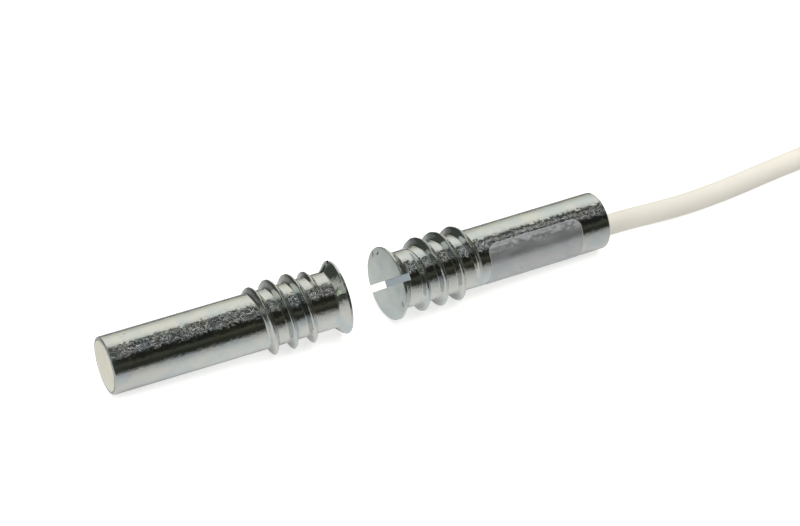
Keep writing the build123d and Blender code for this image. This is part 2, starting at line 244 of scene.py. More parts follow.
def zinc_plate(settings):
    """Electroplated zinc with blue passivation: bright, cool and slightly rippled, so that it
    mirrors its surroundings in broken flakes. The cast flange face is duller."""
    made, tree, shader = new_material("zinc_plate_passivated", Metallic=1.0, Roughness=0.2)
    own = add_node(tree, "Attribute", attribute_name="own").node.outputs["Vector"]
    side, top, along = add_node(tree, "SeparateXYZ", (own,)).node.outputs
    place = add_node(tree, "TexCoord").node.outputs["Object"]
    blotch = add_node(tree, "TexNoise", (place, 1 / (2.6 * MM), 4.0))
    blotch = add_node(tree, "MapRange", (blotch, 0.42, 0.62))
    plate = add_node(tree, "Mix", (blotch, settings.plate, settings.passivation), data_type="RGBA")
    # Painted shade: sparse pits of uneven outline, each about 0.1 mm wide, are sunk in the bump and also
    # painted dark
    swirl = add_node(tree, "TexNoise", (place, 1 / (0.12 * MM))).node.outputs["Color"]
    swirl = add_node(tree, "Mix", (0.12 * MM, place, swirl), data_type="RGBA", blend_type="ADD")
    pit = add_node(tree, "TexVoronoi", {"Vector": swirl, "Scale": 1 / (2.1 * MM)})
    pit = add_node(tree, "MapRange", (pit, 0.03, 0.06, 0.8, 0.0))
    plate = add_node(tree, "Mix", (pit, plate, linear("#4A4A44")), data_type="RGBA")
    # Painted shade: behind the face and within 3.7 mm of the axis, in the slot and the bore, the plate
    # is painted a darker blue-grey
    reach = add_node(tree, "CombineXYZ", (side, top))
    reach = add_node(tree, "VectorMath", (reach,), operation="LENGTH")
    inside = add_node(tree, "MapRange", (reach, 3.7 * MM, 3.85 * MM, 1.0, 0.0))
    deep = add_node(tree, "MapRange", (along, 0.15 * MM, 0.5 * MM))
    inside = add_node(tree, "Math", (inside, deep), operation="MULTIPLY")
    plate = add_node(tree, "Mix", (inside, plate, linear("#9CA7AE")), data_type="RGBA")
    # The face was blasted before plating, which leaves it duller, greyer and grainy
    front = add_node(tree, "MapRange", (along, 0.02 * MM, 0.2 * MM, 1.0, 0.0))
    speck = add_node(tree, "TexNoise", (place, 1 / (0.22 * MM), 2.0))
    speck = add_node(tree, "MapRange", (speck, 0.3, 0.7, 0.0, 0.9))
    dusty = add_node(tree, "Mix", (speck, linear("#D3DCD9"), linear("#B8C4C2")), data_type="RGBA")
    blasted = add_node(tree, "Math", (front, 0.55), operation="MULTIPLY")
    plate = add_node(tree, "Mix", (blasted, plate, dusty), data_type="RGBA")
    # Painted shade: nicks in the flange face, from the tumbling before plating, drawn only as near-black
    # marks with no shape of their own
    for spot, turn in NICKS:
        stroke = add_node(
            tree,
            "Mapping",
            (own, mm(*spot, 0.0), (0.0, 0.0, radians(turn)), mm(*NICK_SIZE)),
            vector_type="TEXTURE",
        )
        nick_shade = add_node(tree, "VectorMath", (stroke,), operation="LENGTH")
        nick_shade = add_node(tree, "MapRange", (nick_shade, 0.6, 1.0, 0.9, 0.0))
        plate = add_node(tree, "Mix", (nick_shade, plate, linear("#2B2C28")), data_type="RGBA")
    tree.links.new(plate, shader.inputs["Base Color"])
    rough = add_node(tree, "TexNoise", (place, 1 / (1.4 * MM), 3.0))
    rough = add_node(tree, "MapRange", (rough, 0.35, 0.7, 0.07, 0.17))
    rough = add_node(tree, "Math", (front, 0.3, rough), operation="MULTIPLY_ADD")
    tree.links.new(rough, shader.inputs["Roughness"])
    # The zinc grew in flakes that each face a slightly different way, most along the side
    # that rubbed in the plating barrel
    facing = add_node(tree, "NewGeometry").node.outputs["Normal"]
    rubbed = add_node(tree, "VectorMath", (facing, RUBBED_SIDE), operation="DOT_PRODUCT")
    rubbed = add_node(tree, "MapRange", (rubbed, 0.9, 0.975, 0.14, 1.0))
    uneven = add_node(tree, "TexNoise", (place, 1 / (2.4 * MM), 3.0))
    uneven = add_node(tree, "MapRange", (uneven, 0.38, 0.62, 0.05, 0.16))
    uneven = add_node(tree, "Math", (uneven, rubbed), operation="MULTIPLY")
    flake = add_node(tree, "TexVoronoi", {"Vector": place, "Scale": 1 / (0.4 * MM)})
    flake = flake.node.outputs["Color"]
    lean = add_node(tree, "VectorMath", (flake, (0.5, 0.5, 0.5)), operation="SUBTRACT")
    lean = add_node(tree, "VectorMath", (lean, uneven), operation="SCALE")
    normal = add_node(tree, "VectorMath", (facing, lean), operation="ADD")
    wave = add_node(tree, "TexNoise", (place, 1 / (1.7 * MM), 2.0))
    peel = add_node(tree, "TexNoise", (place, 1 / settings.peel, 3.0))
    for height, depth, sunk in ((wave, 0.012, False), (peel, 0.02, False), (pit, 0.03, True)):
        bump = {"Height": height, "Distance": depth * MM, "Normal": normal}
        normal = add_node(tree, "Bump", bump, invert=sunk)
    tree.links.new(normal, shader.inputs["Normal"])
    return made


def clouded(name, tones, cloud, grain, depth, detail=2.0, most=0.7, **values):
    """A material of two tones that pass into each other in clouds, with a fine grain. The
    width of the clouds and of the grain, and its depth, are in millimetres."""
    made, tree, shader = new_material(name, **values)
    place = add_node(tree, "TexCoord").node.outputs["Object"]
    share = add_node(tree, "TexNoise", (place, 1 / (cloud * MM), 3.0))
    share = add_node(tree, "MapRange", (share, 0.35, most))
    colour = add_node(tree, "Mix", (share, *tones), data_type="RGBA")
    tree.links.new(colour, shader.inputs["Base Color"])
    height = add_node(tree, "TexNoise", (place, 1 / (grain * MM), detail))
    normal = add_node(tree, "Bump", {"Height": height, "Distance": depth * MM})
    tree.links.new(normal, shader.inputs["Normal"])
    return made


def resin(settings):
    """Epoxy casting resin, poured and cured: matt ivory with faint clouds."""
    tones = settings.resin, linear("#E2DDCB")
    return clouded("epoxy_resin_cast", tones, 2.2, 0.5, 0.01, 3.0, Roughness=0.5, IOR=1.54)


def jacket(settings):
    """Soft PVC, extruded: matt warm white, hardly uneven, with a faint orange peel."""
    tones = settings.jacket, linear("#F2EDE2")
    return clouded(
        "pvc_jacket_extruded", tones, 9.0, 0.35, 0.006, most=0.75, Roughness=0.52, IOR=1.53
    )


def drawn_metal(name, first, second, cloud, roughness, depth):
    """Drawn, rolled or plated metal: bright, with two tones and a fine grain."""
    tones = linear(first), linear(second)
    return clouded(name, tones, cloud, cloud / 4, depth, Metallic=1.0, Roughness=roughness)


def plain_plastic(name, first, second, cloud, roughness, depth, ior):
    """Moulded, extruded or wound plastic: satin and even, with hardly a difference in tone."""
    tones = linear(first), linear(second)
    return clouded(name, tones, cloud, cloud / 4, depth, Roughness=roughness, IOR=ior)


def glass():
    """Glass, drawn as a tube and sealed: clear, with a faint green cast."""
    made, tree, shader = new_material(
        "glass_drawn", Roughness=0.03, IOR=1.5, Transmission_Weight=1.0
    )
    place = add_node(tree, "TexCoord").node.outputs["Object"]
    cast = add_node(tree, "TexNoise", (place, 1 / (2.0 * MM), 2.0))
    cast = add_node(tree, "MapRange", (cast, 0.3, 0.7))
    cast = add_node(tree, "Mix", (cast, linear("#DCE8DE"), linear("#CFE0D4")), data_type="RGBA")
    tree.links.new(cast, shader.inputs["Base Color"])
    return made


def film(settings):
    """Polyester film, clear and self-adhesive: it greys what lies under it a little, shows a hazy gloss,
    and whitens at its cut edge. Along its crease it is whitened in patches, partly air under the film
    and partly a painted highlight of the crease."""
    made, tree, shader = new_material(
        "polyester_film_clear", Roughness=0.16, IOR=1.57, Base_Color=(*linear("#E6E8EC"), 1)
    )
    place = add_node(tree, "TexCoord").node.outputs["Object"]
    cloud = add_node(tree, "Mapping", {"Vector": place, "Scale": (0.3, 1.0, 1.0)})
    cloud = add_node(tree, "TexNoise", (cloud, 1 / (0.8 * MM), 3.0))
    cloud = add_node(tree, "MapRange", (cloud, 0.36, 0.66, 0.82, 1.2))
    haze = add_node(tree, "Math", (cloud, settings.haze), operation="MULTIPLY")
    # Painted highlight: the white attribute whitens the film along its crease, and at its cut edge
    white = add_node(tree, "Attribute", attribute_name="white").node.outputs["Fac"]
    haze = add_node(tree, "Math", (white, 0.3, haze), operation="MULTIPLY_ADD")
    gloss = add_node(tree, "Fresnel", {"IOR": 1.5})
    share = add_node(tree, "Math", (haze, gloss), operation="ADD")
    # Light is scattered once, where it enters
    inner = add_node(tree, "NewGeometry").node.outputs["Backfacing"]
    outer = add_node(tree, "Math", (1.0, inner), operation="SUBTRACT")
    share = add_node(tree, "Math", (share, outer), operation="MULTIPLY")
    clear = add_node(tree, "BsdfTransparent", {"Color": linear("#FCFCFD")})
    both = add_node(tree, "MixShader", (share, clear, shader.outputs[0]))
    tree.links.new(both, tree.nodes["Material Output"].inputs["Surface"])
    ripple = add_node(tree, "TexNoise", (place, 1 / (1.3 * MM), 2.0))
    ripple = add_node(tree, "Bump", {"Height": ripple, "Distance": 0.004 * MM})
    tree.links.new(ripple, shader.inputs["Normal"])
    return made


def new_piece(name, mesh, material, place=None, replaces=()):
    """An object for a mesh or curve, riding with the contact, with its finish."""
    made = bpy.data.objects.new(name, mesh)
    bpy.context.scene.collection.objects.link(made)
    if place is not None:
        own = mesh.attributes.new("own", "FLOAT_VECTOR", "POINT")
        own.data.foreach_set("vector", [x for v in mesh.vertices for x in v.co])
        mesh.transform(place)
        # Where a half rests on the table it is flat by a hair, and doesn't sink in
        for v in mesh.vertices:
            v.co.z = max(0.0, v.co.z)
    mesh.materials.append(material)
    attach(made, BODY)
    if replaces:
        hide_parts(*replaces)
    return made


def shaded(mesh, angle=35.0):
    """Smooth shading, with edges that turn more than the angle left sharp."""
    mesh.shade_smooth()
    mesh.set_sharp_from_angle(angle=radians(angle))
    return mesh


# Housing


def neck(along):
    """The neck's radius at a place on it: it tapers up to the shank."""
    start = FLANGE_RIM + FLANGE_R - ROOT_R
    share = min(1.0, max(0.0, (along - start) / (NECK_END - start)))
    return ROOT_R + (SHANK_R - ROOT_R) * share


def ridge_height(along, angle):
    """How far the thread stands above the shank at a place on it, in millimetres."""
    turn = ((degrees(angle) - THREAD_ANGLE) % 360.0) / 360.0
    fade, foot, best = 0.42, 0.78, 0.0
    for whole in range(-1, 5):
        wound = turn + whole
        if not 0.0 <= wound <= THREAD_TURNS:
            continue
        begin = smooth(wound / fade)
        grown = begin * smooth((THREAD_TURNS - wound) / fade)
        centre = THREAD_START + THREAD_PITCH * wound + 0.55 * (1 - begin)
        wide = foot * (0.45 + 0.55 * grown)
        off = abs(along - centre)
        if off < wide:
            best = max(best, grown * (0.5 + 0.5 * cos(pi * off / wide)) ** 0.8)
    return best * (CREST_R - ROOT_R)


def lathe(shape, ring, profile):
    """Carries a ring of vertices on along a profile of places along the axis and radii."""
    turns = [atan2(v.co.y, v.co.x) for v in ring]
    for along, radius in profile:
        if radius == 0:
            tip = shape.verts.new((0, 0, along * MM))
            for a, b in zip(ring, ring[1:] + ring[:1]):
                shape.faces.new((a, b, tip))
            return
        carried = [
            shape.verts.new((radius * cos(t) * MM, radius * sin(t) * MM, along * MM)) for t in turns
        ]
        for a, b, c, d in zip(ring, ring[1:] + ring[:1], carried[1:] + carried[:1], carried):
            shape.faces.new((a, b, c, d))
        ring = carried


def arc_profile(centre, radius, start, end, steps):
    """Points of an arc in a profile, with angles from the axis outward."""
    return [
        (
            centre[0] + radius * sin(radians(start + (end - start) * k / steps)),
            centre[1] + radius * cos(radians(start + (end - start) * k / steps)),
        )
        for k in range(steps + 1)
    ]


def housing_mesh(name):
    """Threaded, flanged tube with a closed front, in its own frame; its slot is cut afterwards."""
    columns, rows = 160, 44
    step = THREAD_PITCH / rows
    front, rear = 2.35, NECK_END
    count = int((rear - front) / step) + rows + 4
    shape = bmesh.new()
    grid = []
    for j in range(count):
        line = []
        for i in range(columns):
            along = front - THREAD_PITCH + (j + i / columns * rows) * step
            angle = tau * i / columns
            radius = neck(along) + ridge_height(along, angle)
            line.append(shape.verts.new(mm(radius * cos(angle), radius * sin(angle), along)))
        grid.append(line)
    for j in range(count - 1):
        for i in range(columns):
            if i + 1 < columns:
                shape.faces.new((grid[j][i], grid[j][i + 1], grid[j + 1][i + 1], grid[j + 1][i]))
            elif j + rows + 1 < count:
                shape.faces.new((grid[j][i], grid[j + rows][0], grid[j + rows + 1][0], grid[j + 1][i]))
    for place, side in ((front, -1), (rear, 1)):
        bmesh.ops.bisect_plane(
            shape,
            geom=shape.verts[:] + shape.edges[:] + shape.faces[:],
            dist=1e-8,
            plane_co=(0, 0, place * MM),
            plane_no=(0, 0, side),
            clear_outer=True,
        )
    bmesh.ops.delete(shape, geom=[v for v in shape.verts if not v.link_faces], context="VERTS")

    def open_ring(place):
        found = [v for v in shape.verts if abs(v.co.z - place * MM) < 1e-7 and v.is_boundary]
        return sorted(found, key=lambda v: atan2(v.co.y, v.co.x))

    cone_end = FLANGE_RIM + FLANGE_R - ROOT_R
    blend = 0.45
    foot = blend * (sqrt(2) - 1)
    fillet = [
        (cone_end + foot - blend * sin(radians(t)), ROOT_R + blend - blend * cos(radians(t)))
        for t in (0, 9, 18, 27, 36, 45)
    ]
    lathe(
        shape,
        open_ring(front),
        fillet
        + [(FLANGE_RIM + 0.09, FLANGE_R - 0.09)]
        + arc_profile((FLANGE_RIM - 0.03, FLANGE_R - 0.1), 0.1, 45, 0, 3)
        + [(0.14, FLANGE_R)]
        + arc_profile((0.09, FLANGE_R - 0.09), 0.09, 0, -90, 4)
        + [(0.0, FLANGE_R * k) for k in (0.9, 0.75, 0.5, 0.25)]
        + [(0.0, 0.0)],
    )
    rear_edge = HOUSING_LENGTH - REAR_CHAMFER
    lathe(
        shape,
        open_ring(rear),
        [(rear + 0.1, SHANK_R)]
        + [(rear + 0.1 + k * (rear_edge - rear) / 12, SHANK_R) for k in range(1, 12)]
        + arc_profile((rear_edge, SHANK_R - REAR_CHAMFER), REAR_CHAMFER, 0, 90, 5)
        + arc_profile((HOUSING_LENGTH - 0.08, BORE_R + 0.08), 0.08, 90, 180, 3)
        + [(HOUSING_LENGTH - 2.0, BORE_R), (FRONT_WALL, BORE_R), (FRONT_WALL, 0.0)],
    )
    bmesh.ops.recalc_face_normals(shape, faces=shape.faces[:])
    for v in shape.verts:
        reach = sqrt(v.co.x**2 + v.co.y**2)
        if reach > (SHANK_R - 0.3) * MM and v.co.z < (HOUSING_LENGTH - 0.5) * MM:
            # The casting is not quite true, most at its thin edges
            broad = noise.noise(v.co * 900) * 0.016 * MM
            fine = noise.noise(v.co * 3200) * 0.006 * MM
            more = 1.0 + 2.2 * smooth((reach / MM - SHANK_R) / 1.0)
            v.co.xy *= 1.0 + (broad + fine) * more / reach
    mesh = bpy.data.meshes.new(name)
    shape.to_mesh(mesh)
    shape.free()
    return mesh


def slot_cutter():
    """A long bar that cuts the screwdriver slot."""
    shape = bmesh.new()
    bmesh.ops.create_cube(shape, size=1.0)
    for v in shape.verts:
        v.co = mm(v.co.x * 14, v.co.y * SLOT_WIDTH, (v.co.z + 0.5) * 4 - 4 + SLOT_DEPTH)
    mesh = bpy.data.meshes.new("slot_cutter")
    shape.to_mesh(mesh)
    shape.free()
    return bpy.data.objects.new("slot_cutter", mesh)


class CONTACT_OT_housings(bpy.types.Operator):
    """Add the two plated housings with their threads, flanges and slots"""

    bl_idname = "contact.housings"
    bl_label = "Add housings"

    def execute(self, context):
        metal = zinc_plate(context.scene.contact_metal)
        cutter = slot_cutter()
        context.scene.collection.objects.link(cutter)
        blank = bpy.data.objects.new("housing_blank", housing_mesh("housing_blank"))
        context.scene.collection.objects.link(blank)
        cut = blank.modifiers.new("slot", "BOOLEAN")
        cut.operation, cut.solver, cut.object = "DIFFERENCE", "EXACT", cutter
        context.view_layer.update()
        ready = blank.evaluated_get(context.evaluated_depsgraph_get())
        for name, half, slot in (
            ("contact", contact_frame, CONTACT_SLOT),
            ("magnet", magnet_frame, MAGNET_SLOT),
        ):
            mesh = shaded(bpy.data.meshes.new_from_object(ready), 40.0)
            mesh.name = name + "_housing_cast"
            new_piece(
                name + "_housing_cast",
                mesh,
                metal,
                half @ Matrix.Rotation(radians(slot), 4, "Z"),
                (name + "_housing",),
            )
        bpy.data.objects.remove(blank)
        bpy.data.objects.remove(cutter)
        return {"FINISHED"}


# Resin


def resin_mesh(name, depth, collar):
    """Plug of resin with a drawn-up edge, and a collar where the cable leaves it."""
    shape = bmesh.new()
    rings, columns = 22, 96
    shells = []
    for k in range(1, rings + 1):
        radius = BORE_R * k / rings
        line = []
        for i in range(columns):
            angle = tau * i / columns
            x, y = radius * cos(angle), radius * sin(angle)
            # The resin climbed the wall, and the cable, as it set
            rise = 0.1 * exp((radius - BORE_R) / 0.25) - 0.06 + 0.02 * noise.noise(Vector((x, y, 3)))
            if collar:
                near = sqrt((x - EXIT_SIDE) ** 2 + (y - EXIT_DROP) ** 2) - CABLE_R
                rise += 0.55 * exp(-max(0.0, near) / 0.28)
            line.append(shape.verts.new(mm(x, y, HOUSING_LENGTH + rise)))
        shells.append(line)
    middle = sum((v.co for v in shells[0]), Vector()) / columns
    tip = shape.verts.new(middle)
    for i in range(columns):
        shape.faces.new((shells[0][i], shells[0][(i + 1) % columns], tip))
    for inner, outer in zip(shells, shells[1:]):
        for i in range(columns):
            j = (i + 1) % columns
            shape.faces.new((inner[i], outer[i], outer[j], inner[j]))
    base = [
        shape.verts.new(mm(BORE_R * cos(tau * i / columns), BORE_R * sin(tau * i / columns), depth))
        for i in range(columns)
    ]
    for i in range(columns):
        j = (i + 1) % columns
        shape.faces.new((shells[-1][i], base[i], base[j], shells[-1][j]))
    shape.faces.new(base)
    bmesh.ops.recalc_face_normals(shape, faces=shape.faces[:])
    mesh = bpy.data.meshes.new(name)
    shape.to_mesh(mesh)
    shape.free()
    return shaded(mesh, 50.0)


class CONTACT_OT_resin(bpy.types.Operator):
    """Add the cast resin that closes both housings"""

    bl_idname = "contact.resin"
    bl_label = "Add resin"

    def execute(self, context):
        cast = resin(context.scene.contact_cable)
        for name, half, depth, collar in (
            ("contact", contact_frame, CONTACT_RESIN, True),
            ("magnet", magnet_frame, MAGNET_RESIN, False),
        ):
            new_piece(
                name + "_resin_cast",
                resin_mesh(name + "_resin_cast", depth, collar),
                cast,
                half,
                (name + "_potting",),
            )
        return {"FINISHED"}


# Film on the contact's shank


def film_mesh(name, crease):
    """A thin bent sheet with rounded corners, slightly rippled, with a crease along it."""
    front, length, low, high = 14.2, 14.8, radians(125.0), radians(235.0)
    corner, inner, thick = 1.2, SHANK_R + 0.012, 0.055
    middle, half = (low + high) / 2, (high - low) / 2
    across, fold, air = 44, 0.12, 0.5
    places = [corner * (1 - cos(radians(90 * k / 8))) for k in range(9)]
    places += [corner + (length - 2 * corner) * k / 70 for k in range(1, 70)]
    places += [length - p for p in reversed(places[:9])]
    shape = bmesh.new()
    white = shape.verts.layers.float.new("white")
    layers = []
    for level in (0.0, 1.0):
        lines = []
        for p in places:
            edge = min(p, length - p)
            drop = corner - sqrt(max(0.0, corner**2 - (corner - edge) ** 2)) if edge < corner else 0.0
            reach = half - drop / SHANK_R
            line = []
            for k in range(across + 1):
                angle = middle + reach * (2 * k / across - 1)
                inset = min(edge, (half - abs(angle - middle)) * SHANK_R)
                lift = 0.5 + 0.5 * noise.noise(Vector((p * 0.5, angle * 2.2, 7)))
                lift = 0.02 * lift * smooth(inset / 1.0)
                path = middle - 0.8 + 0.03 * sin(p * 0.9) + 0.02 * p / length
                beside = (angle - path) * SHANK_R
                lift += crease / MM * exp(-((beside / fold) ** 2)) * smooth(inset / 0.8)
                radius = inner + level * thick + lift
                v = shape.verts.new(mm(radius * cos(angle), radius * sin(angle), front + p))
                # Along the crease, broken patches of whitening: partly air under the film, partly
                # painted highlight of the crease
                crease_highlight = noise.noise(Vector((p * 1.3, angle * 9.0, 2.0))) * 2.2 + 0.45
                crease_highlight = 0.8 * smooth(crease_highlight) * exp(-((beside / air) ** 2))
                v[white] = 1.0 if inset < 0.04 else crease_highlight
                line.append(v)
            lines.append(line)
        layers.append(lines)
    for lines in layers:
        for a, b in zip(lines, lines[1:]):
            for k in range(across):
                shape.faces.new((a[k], a[k + 1], b[k + 1], b[k]))
    last = len(places) - 1
    for j in range(last):
        for k in (0, across):
            shape.faces.new((layers[0][j][k], layers[0][j + 1][k], layers[1][j + 1][k], layers[1][j][k]))
    for j in (0, last):
        for k in range(across):
            shape.faces.new((layers[0][j][k], layers[0][j][k + 1], layers[1][j][k + 1], layers[1][j][k]))
    bmesh.ops.recalc_face_normals(shape, faces=shape.faces[:])
    mesh = bpy.data.meshes.new(name)
    shape.to_mesh(mesh)
    shape.free()
    return shaded(mesh, 50.0)


class CONTACT_OT_film(bpy.types.Operator):
    """Add the clear film on the contact's shank"""

    bl_idname = "contact.film"
    bl_label = "Add film"

    def execute(self, context):
        settings = context.scene.contact_film
        new_piece(
            "label_film_clear",
            film_mesh("label_film_clear", settings.crease),
            film(settings),
            contact_frame,
            ("label_film",),
        )
        return {"FINISHED"}


# Cable

# Control points of the cable before and after its hank, in millimetres
LEAD_POINTS = [
    (32.032, -2.2958, 3.290),
    (37.028, -2.2958, 3.087),
    (41.424, -2.2958, 2.909),
    (51.028, -1.746, 1.5),
    (59.028, -1.646, 1.5),
    (67.528, -0.796, 1.5),
    (74.528, -0.396, 1.5),
    (80.028, 1.204, 1.5),
    (85.528, 4.904, 1.5),
    (90.5, 7.6, 1.5),
]
TAIL_POINTS = [
    (146.0, -16.4, 4.5),
    (141.0, -17.0, 4.5),
    (128.998, -20.496, 1.5),
    (117.998, -20.646, 1.5),
]
# Radius at the ends and height of each turn of the hank, in the order in which it is wound
TURNS = (
    [(12.0, 1.5), (9.0, 1.5)]
    + [(9.0, z) for z in (4.5, 7.5, 10.5, 13.5)]
    + [(12.0, z) for z in (13.5, 10.5, 7.5, 4.5)]
)
# The tie: where it is along the far run, and from where to where it reaches across
TIE_AT = 121.998
TIE_SPAN = (7.5, 13.5)
HANK_HEIGHT = 15.0


def hank_points():
    """Control points of the long turns: far run, right end, near run and left end each count
    as one quarter. A turn passes to the next over part of a quarter, a little sooner each time."""
    first, spacing, passing, end = 2.35, 3.65, 0.7, 37.9
    marks = (0.08, 0.3, 0.5, 0.7, 0.92)
    bends = (0.07, 0.21, 0.36, 0.5, 0.64, 0.79, 0.93)
    stations = [q + m for q in range(40) for m in (bends if q % 2 else marks)]
    points = []
    for wound in stations:
        if not 0.2 < wound < end:
            continue
        k = floor((wound - first) / spacing)
        radius, height = TURNS[max(0, min(k + 1, len(TURNS) - 1))]
        if 0 <= k < len(TURNS) - 1:
            before = TURNS[k]
            share = smooth((wound - first - k * spacing) / passing)
            radius = before[0] + (radius - before[0]) * share
            height = before[1] + (height - before[1]) * share
        quarter, share = floor(wound) % 4, wound % 1.0
        x, y = HANK_MIDDLE
        if quarter == 0:
            x += HANK_RUN * (share - 0.5)
            # The tie draws the turns together
            drawn = 0.09 * (1 - smooth((abs(x - TIE_AT) - 2.0) / 12.0))
            y += radius + (sum(TIE_SPAN) / 2 - radius) * drawn
            height += (HANK_HEIGHT / 2 - height) * drawn
        elif quarter == 2:
            x += HANK_RUN * (0.5 - share)
            y -= radius
        else:
            side = 1 if quarter == 1 else -1
            angle = pi / 2 - pi * share
            # The curve passes a little inside its control points
            reach = radius / 0.975
            x += side * (HANK_RUN / 2 + reach * cos(angle))
            y += side * reach * sin(angle)
        points.append((x, y, height))
    return points


def tube(name, routes, radius, sides=6, resolution=6):
    """A curve with a round section along each route of control points, in millimetres."""
    curve = bpy.data.curves.new(name, "CURVE")
    curve.dimensions = "3D"
    for route in routes:
        spline = curve.splines.new("NURBS")
        spline.points.add(len(route) - 1)
        for point, place in zip(spline.points, route):
            point.co = (*(Vector(place) * MM), 1.0)
        spline.order_u = 3
        spline.use_endpoint_u = True
        spline.resolution_u = resolution
    curve.bevel_depth = radius * MM
    curve.bevel_resolution = sides
    curve.use_fill_caps = True
    return curve


def tie_mesh(name):
    """A band with rounded edges pulled round the far run's turns, and its lock inside."""
    low, high = TIE_SPAN
    outline = [
        Vector(p) for p in ((low, 0.0), (high, 0.0), (high, HANK_HEIGHT), (low, HANK_HEIGHT))
    ]
    cut, loop = 1.6, []
    for k, here in enumerate(outline):
        before, after = outline[k - 1], outline[(k + 1) % len(outline)]
        a, b = here + (before - here).normalized() * cut, here + (after - here).normalized() * cut
        loop += [a.lerp(here, t).lerp(here.lerp(b, t), t) for t in (0, 0.2, 0.4, 0.6, 0.8, 1.0)]
    half, rise, edge = 1.5, 0.5, 0.12
    section = [(-half, edge), (-half + edge, 0.0), (half - edge, 0.0), (half, edge)]
    section += [(half, rise - edge), (half - edge, rise), (-half + edge, rise), (-half, rise - edge)]
    shape = bmesh.new()

    def placed(along, r, z):
        return shape.verts.new(mm(TIE_AT + along, HANK_MIDDLE[1] + r, z))

    rings = []
    for k, here in enumerate(loop):
        ahead = (loop[(k + 1) % len(loop)] - loop[k - 1]).normalized()
        inward = Vector((-ahead.y, ahead.x))
        rings.append([placed(side, *(here + inward * depth)) for side, depth in section])
    for a, b in zip(rings, rings[1:] + rings[:1]):
        for k in range(len(section)):
            j = (k + 1) % len(section)
            shape.faces.new((a[k], a[j], b[j], b[k]))
    lock = bmesh.new()
    bmesh.ops.create_cube(lock, size=1.0)
    for v in lock.verts:
        v.co = Vector((v.co.x * 4.4, v.co.y * 3.4, v.co.z * 2.2))
    bmesh.ops.bevel(lock, geom=lock.edges[:], offset=0.35, segments=3, affect="EDGES", profile=0.5)
    middle = (low - 0.8, HANK_HEIGHT * 0.72)
    turned = {v: placed(v.co.x, middle[0] + v.co.z, middle[1] + v.co.y) for v in lock.verts}
    for face in lock.faces:
        shape.faces.new([turned[v] for v in face.verts])
    lock.free()
    bmesh.ops.recalc_face_normals(shape, faces=shape.faces[:])
    mesh = bpy.data.meshes.new(name)
    shape.to_mesh(mesh)
    shape.free()
    return shaded(mesh, 45.0)


# Stripped cores: name, column and row in the jacket's end, how far to the side each one is after
# 3.6 mm and at its end, its length, all in millimetres, and its two tones
CORES = (
    ("white", 1, 1, 0.9, 2.1, 21.5, "#EFEEE8", "#E4E2D8"),
    ("brown", 1, -1, 0.1, 0.6, 23.5, "#6B4630", "#5A3A28"),
    ("yellow", -1, 1, -0.9, -1.8, 20.8, "#E3C53A", "#D6B52E"),
    ("green", -1, -1, -0.1, -0.4, 22.6, "#3E8A4C", "#33763F"),
)
CORE_R = 0.425
TIP_LENGTH = 5.0


def core_route(column, row, apart, spread, reach):
    """Control points of a stripped core from the jacket's end face to its bare tip."""
    end = Vector(TAIL_POINTS[-1])
    ahead = (end - Vector(TAIL_POINTS[-2])).normalized()
    across = Vector((-ahead.y, ahead.x, 0))
    begin = end + across * column * 0.475 + Vector((0, 0, row * 0.475))
    down = Vector((0, 0, CORE_R - begin.z))
    return [
        begin - ahead * 2.0,
        begin + ahead * 0.85,
        begin + ahead * 3.6 + across * apart,
        begin + ahead * 8.4 + across * (apart * 0.4 + spread * 0.6) + down,
        begin + ahead * reach + across * spread + down,
    ]


def strands(route):
    """Seven twisted strands of a bare tip that carries on from a core's route."""
    start = route[-1]
    ahead = (route[-1] - route[-2]).normalized()
    side = ahead.cross(Vector((0, 0, 1))).normalized()
    up = side.cross(ahead)
    lift = Vector((0, 0, 0.27 - CORE_R))
    laid = []
    for k in range(7):
        points = []
        for j in range(15):
            t = j / 14
            angle = tau * (k / 6 + 1.1 * t)
            off = 0.0 if k == 6 else 0.165
            points.append(
                start
                + ahead * (t * (TIP_LENGTH + 0.6) - 0.6)
                + (side * cos(angle) + up * sin(angle)) * off
                + lift * smooth(t * 2.5)
            )
        laid.append(points)
    return laid


class CONTACT_OT_cable(bpy.types.Operator):
    """Add the cable with its coil, its tie and its stripped far end"""

    bl_idname = "contact.cable"
    bl_label = "Add cable"

    def execute(self, context):
        pvc = jacket(context.scene.contact_cable)
        route = LEAD_POINTS + hank_points() + TAIL_POINTS
        cable = new_piece(
            "cable_jacketed",
            tube("cable_jacketed", [route], CABLE_R, 7, 6),
            pvc,
            replaces=("cable_lead", "cable_coil", "cable_tail"),
        )
        # Nylon, moulded: a greyish white with a satin gloss
        nylon = plain_plastic("nylon_tie_moulded", "#E6E5DF", "#DAD9D1", 1.5, 0.42, 0.004, 1.53)
        tie = new_piece(
            "coil_tie_nylon",
            tie_mesh("coil_tie_nylon"),
            nylon,
            replaces=("coil_tie",),
        )
        # Copper wire, tinned: pale and bright, duller where the tin is thin
        tinned = drawn_metal("copper_tinned_drawn", "#C9C9C4", "#A9A9A2", 0.8, 0.28, 0.003)
        for name, column, row, apart, spread, reach, first, second in CORES:
            path = core_route(column, row, apart, spread, reach)
            # PVC, extruded thinly over the wire: an even colour with a satin gloss
            skin = plain_plastic(f"pvc_{name}_extruded", first, second, 3.0, 0.4, 0.004, 1.53)
            new_piece(
                    f"core_{name}_stripped",
                    tube(f"core_{name}_stripped", [path], CORE_R, 5, 12),
                    skin,
                    replaces=(f"core_{name}_end",),
                )
            new_piece(
                    f"tip_{name}_twisted",
                    tube(f"tip_{name}_twisted", strands(path), 0.082, 3, 2),
                    tinned,
                    replaces=(f"tip_{name}",),
                )
        return {"FINISHED"}


